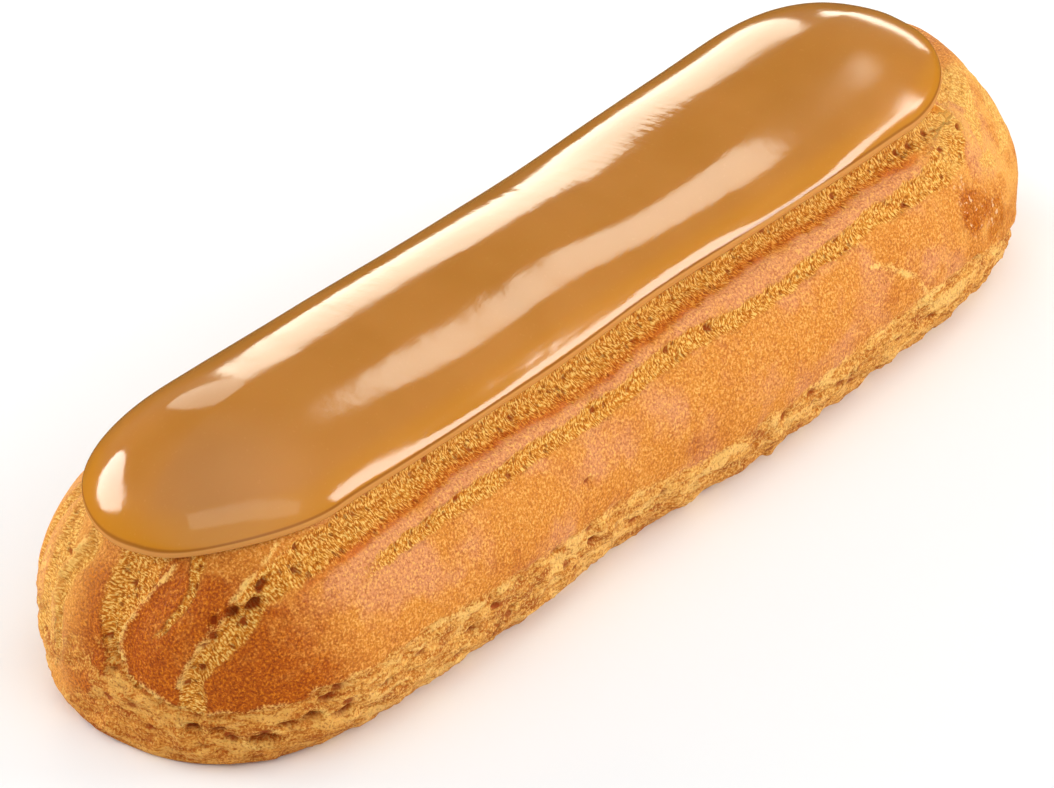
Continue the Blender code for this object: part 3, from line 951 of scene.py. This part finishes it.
class CrustNodes(Nodes):
    """The crust's marks, and the textures its colours and its fine relief share."""

    def __init__(self):
        super().__init__(bpy.data.materials.new("choux_crust"))
        self.here = self.place()
        self.comb = self.vector("comb")
        names = ("baked", "pink", "porous", "crease", "torn", "pale", "pit", "gloss", "golden")
        self.mark = {name: self.value(name) for name in names}
        self.grain = self.noise(self.here, 0.29 * MM, 3, 0.6)
        self.granules = self.cells(self.here, 0.42 * MM)
        self.coarse = self.noise(self.here, 0.8 * MM, 2, 0.6)
        self.strokes = self.noise(self.scaled(self.comb, (1, 0.45, 1)), 0.22 * MM, 3, 0.6)
        self.fibres = self.noise(self.scaled(self.here, (0.45, 0.45, 1.3)), 0.75 * MM, 4, 0.7)
        self.shreds = self.noise(self.scaled(self.here, (0.35, 0.35, 1)), 2.1 * MM, 4, 0.65, 0.6)
        pores = self.cells(self.scaled(self.comb, (1, 0.7, 1)), 0.8 * MM)
        sparse = self.ramp(self.noise(self.here, 1.5 * MM, 1), 0.42, 0.58)
        holes = self.times(self.ramp(pores, 0.16, 0.34, 1, 0), sparse)
        self.softer = self.unless_golden(0.6)
        self.holes = self.times(holes, self.softer)

    def unless_golden(self, share):
        return self.times(self.mark["golden"], -share, 1)

    def jittered(self, value, texture, by):
        return self.math("ADD", value, self.times(texture, by, -by / 2))


def skin_colour(n):
    """The smooth browned skin: salmon or orange, then brown, with granules on it; on the nose the brown is
    partly painted shade.
    """
    patch = n.noise(n.here, 2.2 * MM, 3, 0.6)
    rosy = n.ramp(n.jittered(n.mark["pink"], patch, 1.2), 0.1, 0.9)
    tone = n.jittered(n.jittered(n.mark["baked"], patch, 0.8), n.coarse, 0.8)
    brown = n.ramp(tone, 0.25, 1.15)
    deep = n.mix(brown, srgb(178, 94, 34), srgb(118, 44, 4))
    bright = n.mix(brown, srgb(248, 184, 98), srgb(222, 128, 22))
    darker = n.times(n.ramp(n.grain, 0.35, 0.48, 0.64, 0), n.unless_golden(0.7))
    specks = n.ramp(n.granules, 0.1, 0.34, 1, 0)
    specks = n.times(specks, n.ramp(n.coarse, 0.42, 0.6))
    colour = n.mix(rosy, srgb(214, 133, 45), srgb(217, 140, 88))
    return n.layers(
        colour,
        (brown, srgb(172, 80, 6)),
        (n.times(n.mark["golden"], 0.65), srgb(243, 178, 90)),
        (darker, deep),
        (n.ramp(n.grain, 0.49, 0.66, 0, 0.8), bright),
        (n.times(specks, 0.6), bright),
    )


def seam_colour(n):
    """The porous seams: golden, with comb-like strokes across them and small pores darkened as painted
    shade.
    """
    gaps = n.times(n.ramp(n.strokes, 0.37, 0.48, 0.8, 0), n.softer)
    colour = n.mix(n.ramp(n.coarse, 0.38, 0.62), srgb(204, 118, 20), srgb(220, 142, 44))
    return n.layers(
        colour,
        (n.times(n.mark["golden"], 0.7), srgb(238, 176, 86)),
        (n.ramp(n.strokes, 0.49, 0.6, 0, 0.95), srgb(252, 206, 114)),
        (gaps, srgb(152, 72, 10)),
        # Painted shade in the small pores.
        (n.times(n.holes, 0.6), srgb(132, 52, 8)),
    )


def dough_colour(n):
    """The rough dough under the torn edge."""
    colour = n.mix(n.ramp(n.fibres, 0.36, 0.62), srgb(194, 110, 28), srgb(232, 163, 76))
    colour = n.layers(
        colour,
        (n.ramp(n.shreds, 0.52, 0.6, 0, 0.85), srgb(248, 194, 110)),
        (n.ramp(n.shreds, 0.36, 0.46, 0.85, 0), srgb(174, 86, 22)),
        (n.ramp(n.grain, 0.48, 0.64, 0, 0.7), srgb(252, 206, 116)),
        (n.ramp(n.grain, 0.34, 0.46, 0.6, 0), srgb(158, 74, 18)),
    )
    # Browner where the crust is browned more; on the nose this is partly painted shade.
    browner = n.ramp(n.mark["baked"], 0.35, 1.1, 0, 0.7)
    return n.mix(browner, colour, (0.82, 0.66, 0.42, 1), "MULTIPLY")


def crust_colour(n):
    def edge_of(name, by, low, high, most=1):
        return n.ramp(n.jittered(n.mark[name], n.grain, by), low, high, 0, most)

    # Painted glints: pale specks on the glossy patch where it catches the light.
    glints = n.ramp(n.noise(n.here, 0.7 * MM, 2, 0.6), 0.6, 0.68)
    glints = n.times(n.mark["gloss"], glints)
    colour = n.mix(edge_of("porous", 1.6, 0.2, 0.8), skin_colour(n), seam_colour(n))
    colour = n.mix(edge_of("crease", 1.2, 0.1, 0.9, 0.9), colour, (0.84, 0.5, 0.2, 1), "MULTIPLY")
    return n.layers(
        colour,
        (edge_of("torn", 1.4, 0.15, 0.85), dough_colour(n)),
        (edge_of("pale", 1.4, 0.25, 0.95, 0.8), srgb(253, 206, 116)),
        (n.times(glints, 0.8), srgb(252, 206, 158)),
        # Painted shade: pits and hollows are darkened where shade falls in them.
        (n.ramp(n.mark["pit"], 0.25, 0.9, 0, 0.85), srgb(150, 58, 8)),
    )


def fine_relief(n):
    porous, torn = n.mark["porous"], n.mark["torn"]
    rougher = n.times(porous, 1.1, n.times(torn, 0.4))
    rougher = n.times(n.strokes, rougher)
    crumbly = n.times(n.fibres, n.times(torn, 2))
    crumbly = n.times(n.shreds, n.times(torn, 3), crumbly)
    dents = n.times(n.holes, n.times(porous, -0.9))
    grainy = n.times(n.ramp(n.granules, 0, 0.5, 1, 0), 0.35, n.grain)
    grainy = n.times(n.coarse, 0.6, grainy)
    rough = n.math("ADD", grainy, n.math("ADD", rougher, crumbly))
    return n.math("ADD", rough, dents)


def crust_material():
    n = CrustNodes()
    rough = n.times(n.mark["porous"], 0.14, 0.5)
    rough = n.times(n.mark["torn"], 0.14, rough)
    rough = n.times(n.mark["gloss"], -0.28, rough)
    n.put(n.shader.inputs["Base Color"], crust_colour(n))
    n.put(n.shader.inputs["Roughness"], rough)
    n.put(n.shader.inputs["Normal"], n.bump(fine_relief(n), 0.22 * MM, 1))
    n.shader.inputs["Specular IOR Level"].default_value = 0.12
    n.shader.inputs["Subsurface Weight"].default_value = 0.1
    n.shader.inputs["Subsurface Radius"].default_value = (1, 0.4, 0.12)
    n.shader.inputs["Subsurface Scale"].default_value = 0.8 * MM
    return n.owner


def icing_material():
    n = Nodes(bpy.data.materials.new("caramel_icing"))
    here = n.place()
    edge, lean = n.value("edge"), n.value("lean")
    clouds = n.noise(here, 14 * MM, 2, 0.5)
    grain = n.noise(here, 0.5 * MM, 2, 0.6)
    # Painted glow: amber just inside the edge, where light shines through the thin icing.
    amber = n.times(n.ramp(edge, 0.8, 0.93), n.ramp(lean, 12, 22, 1, 0))
    # Painted shade: a thin dark line on the rounded edge just below the highlight.
    line = n.times(n.ramp(lean, 14, 18), n.ramp(lean, 20, 26, 1, 0))
    colour = n.mix(n.ramp(clouds, 0.3, 0.7), srgb(178, 114, 36), srgb(186, 121, 46))
    colour = n.layers(
        colour,
        # painted amber glow inside the edge
        (n.times(amber, 0.65), srgb(192, 124, 18)),
        # Painted light: a light band on the rounded edge below the highlight.
        (n.ramp(lean, 17, 24, 0, 0.8), srgb(204, 144, 78)),
        # painted shade line below the highlight
        (n.times(line, 0.7), srgb(140, 78, 18)),
        # Painted shadow where the icing's edge meets the crust.
        (n.ramp(lean, 78, 92, 0, 0.7), srgb(132, 72, 14)),
        (n.ramp(grain, 0.6, 0.85, 0, 0.2), srgb(214, 150, 76)),
    )
    n.put(n.shader.inputs["Base Color"], colour)
    rough = n.times(n.value("satin"), 0.14, n.ramp(clouds, 0.2, 0.8, 0.08, 0.12))
    n.put(n.shader.inputs["Roughness"], rough)
    n.shader.inputs["Specular IOR Level"].default_value = 0.5
    n.shader.inputs["Subsurface Weight"].default_value = 0.35
    n.shader.inputs["Subsurface Radius"].default_value = (1, 0.55, 0.2)
    n.shader.inputs["Subsurface Scale"].default_value = 1.6 * MM
    ripple = n.noise(n.scaled(here, (0.6, 1.3, 1)), 2.2 * MM, 3, 0.55)
    strands = n.noise(n.scaled(here, (1, 0.25, 0.25)), 1.1 * MM, 2, 0.6)
    strands = n.times(strands, n.value("frayed"))
    n.put(n.shader.inputs["Normal"], n.bump(n.times(strands, 1.5, ripple), 0.05 * MM, 0.5))
    return n.owner


def floor_material():
    n = Nodes(bpy.data.materials.new("pale_floor"))
    haze = n.noise(n.place(), 120 * MM, 2)
    colour = n.mix(haze, (0.92, 0.92, 0.92, 1), (0.95, 0.95, 0.95, 1))
    n.put(n.shader.inputs["Base Color"], colour)
    n.shader.inputs["Roughness"].default_value = 0.9
    n.shader.inputs["Specular IOR Level"].default_value = 0.1
    return n.owner


# ---------------- putting it together
CREAM = (1, 0.98, 0.82)
BLUSH = (1, 0.96, 0.9)
LAMP_DISTANCE = 0.9
WORLD_LOW = (1, 0.55, 0.22, 1)
WORLD_HIGH = (0.93, 0.97, 1.03, 1)
HORIZON = (-0.1, 0.1)
BRIGHT_SIDE = Vector((-0.45, -0.4, 0.8))
BRIGHT_REACH = (0.05, 1)
WORLD_STRENGTH = (0.2, 1.14)
# Softboxes: (name, azimuth, elevation, width, height, power, shape, roll in degrees, colour)
LAMPS = (
    ("back_strip", 44.4, 10.5, 0.15, 0.46, 0.75, "ELLIPSE", 12, CREAM),
    ("back_glow", 55, 26, 0.3, 0.44, 0.78, "ELLIPSE", 10, CREAM),
    ("low_back", 22, 3.5, 0.42, 0.12, 0.75, "RECTANGLE", 0, CREAM),
    ("high_strip", -5, 43.6, 0.3, 0.115, 0.53, "ELLIPSE", 0, CREAM),
    ("right_key", -47.5, 18.7, 0.4, 0.235, 2.9, "RECTANGLE", 0, BLUSH),
    ("far_spot", -30.5, 15.5, 0.14, 0.4, 1.85, "RECTANGLE", 0, BLUSH),
    ("left_spot", 110, 13.5, 0.74, 0.32, 6, "ELLIPSE", 0, BLUSH),
    ("front_strip", -130, 47, 1.65, 0.24, 1.75, "RECTANGLE", 0, CREAM),
)


def add_piece(mesh, material):
    mesh.materials.clear()
    mesh.materials.append(material)
    piece = bpy.data.objects.new(mesh.name, mesh)
    bpy.context.scene.collection.objects.link(piece)
    return piece


def make_floor():
    half = 2.5
    corners = [(-half, -half, 0), (half, -half, 0), (half, half, 0), (-half, half, 0)]
    mesh = bpy.data.meshes.new("floor")
    mesh.from_pydata(corners, [], [(0, 1, 2, 3)])
    floor = add_piece(mesh, floor_material())
    floor.location.z = cad_bounds[0][2] - 0.05 * MM
    # the icing's far side keeps its colour instead of mirroring the pale floor
    floor.visible_glossy = False


def direction(azimuth, elevation):
    azimuth, elevation = math.radians(azimuth), math.radians(elevation)
    flat = math.cos(elevation)
    return Vector((math.cos(azimuth) * flat, math.sin(azimuth) * flat, math.sin(elevation)))


def add_softbox(name, azimuth, elevation, width, height, power, shape, roll, colour):
    """An area light facing the eclair from that azimuth and elevation in degrees."""
    light = bpy.data.lights.new(name, "AREA")
    light.shape = shape
    light.size, light.size_y = width, height
    light.energy = power
    light.color = colour
    holder = bpy.data.objects.new(name, light)
    toward = direction(azimuth, elevation)
    facing = toward.to_track_quat("Z", "Y").to_matrix() @ Matrix.Rotation(math.radians(roll), 3, "Z")
    holder.location = Vector((0, 0, 20 * MM)) + toward * LAMP_DISTANCE
    holder.visible_camera = False
    holder.rotation_euler = facing.to_euler()
    bpy.context.scene.collection.objects.link(holder)


CAMERA_AZIMUTH = -142.087
CAMERA_ELEVATION = 32.11
CAMERA_DISTANCE = 1350.6 * MM
CAMERA_LENS = 425.9
AIM = Vector((0, 0.78 * MM, 15 * MM))
AIM_RIGHT, AIM_UP = -1.720 * MM, -5.856 * MM


def add_camera():
    back = direction(CAMERA_AZIMUTH, CAMERA_ELEVATION)
    right = Vector((0, 0, 1)).cross(back).normalized()
    up = back.cross(right)
    data = bpy.data.cameras.new("camera")
    data.lens = CAMERA_LENS
    data.sensor_width = 36
    data.clip_start, data.clip_end = 0.05, 20
    camera = bpy.data.objects.new("camera", data)
    eye = AIM + back * CAMERA_DISTANCE
    goal = AIM + right * AIM_RIGHT + up * AIM_UP
    camera.location = eye
    camera.rotation_euler = (eye - goal).to_track_quat("Z", "Y").to_euler()
    bpy.context.scene.collection.objects.link(camera)
    bpy.context.scene.camera = camera


def add_world():
    """A dim room that is brighter overhead and on the camera's side."""
    n = Nodes(bpy.data.worlds.new("room"), "Background")
    toward = n.place("Generated")
    level = n.make("ShaderNodeSeparateXYZ")
    n.put(level.inputs[0], toward)
    above = n.ramp(level.outputs["Z"], *HORIZON, way="LINEAR")
    brighter = n.make("ShaderNodeVectorMath", operation="DOT_PRODUCT")
    n.put(brighter.inputs[0], toward)
    n.put(brighter.inputs[1], BRIGHT_SIDE.normalized())
    n.put(n.shader.inputs["Color"], n.mix(above, WORLD_LOW, WORLD_HIGH))
    n.put(n.shader.inputs["Strength"], n.ramp(brighter.outputs["Value"], *BRIGHT_REACH, *WORLD_STRENGTH))
    bpy.context.scene.world = n.owner


def main():
    bpy.context.scene.view_settings.view_transform = "Standard"
    crust = add_piece(make_bun(), crust_material())
    icing = add_piece(make_icing(), icing_material())
    for piece, node in ((crust, "choux"), (icing, "icing")):
        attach(piece, "root")
        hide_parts(node)
    make_floor()
    add_world()
    add_camera()
    for lamp in LAMPS:
        add_softbox(*lamp)


main()
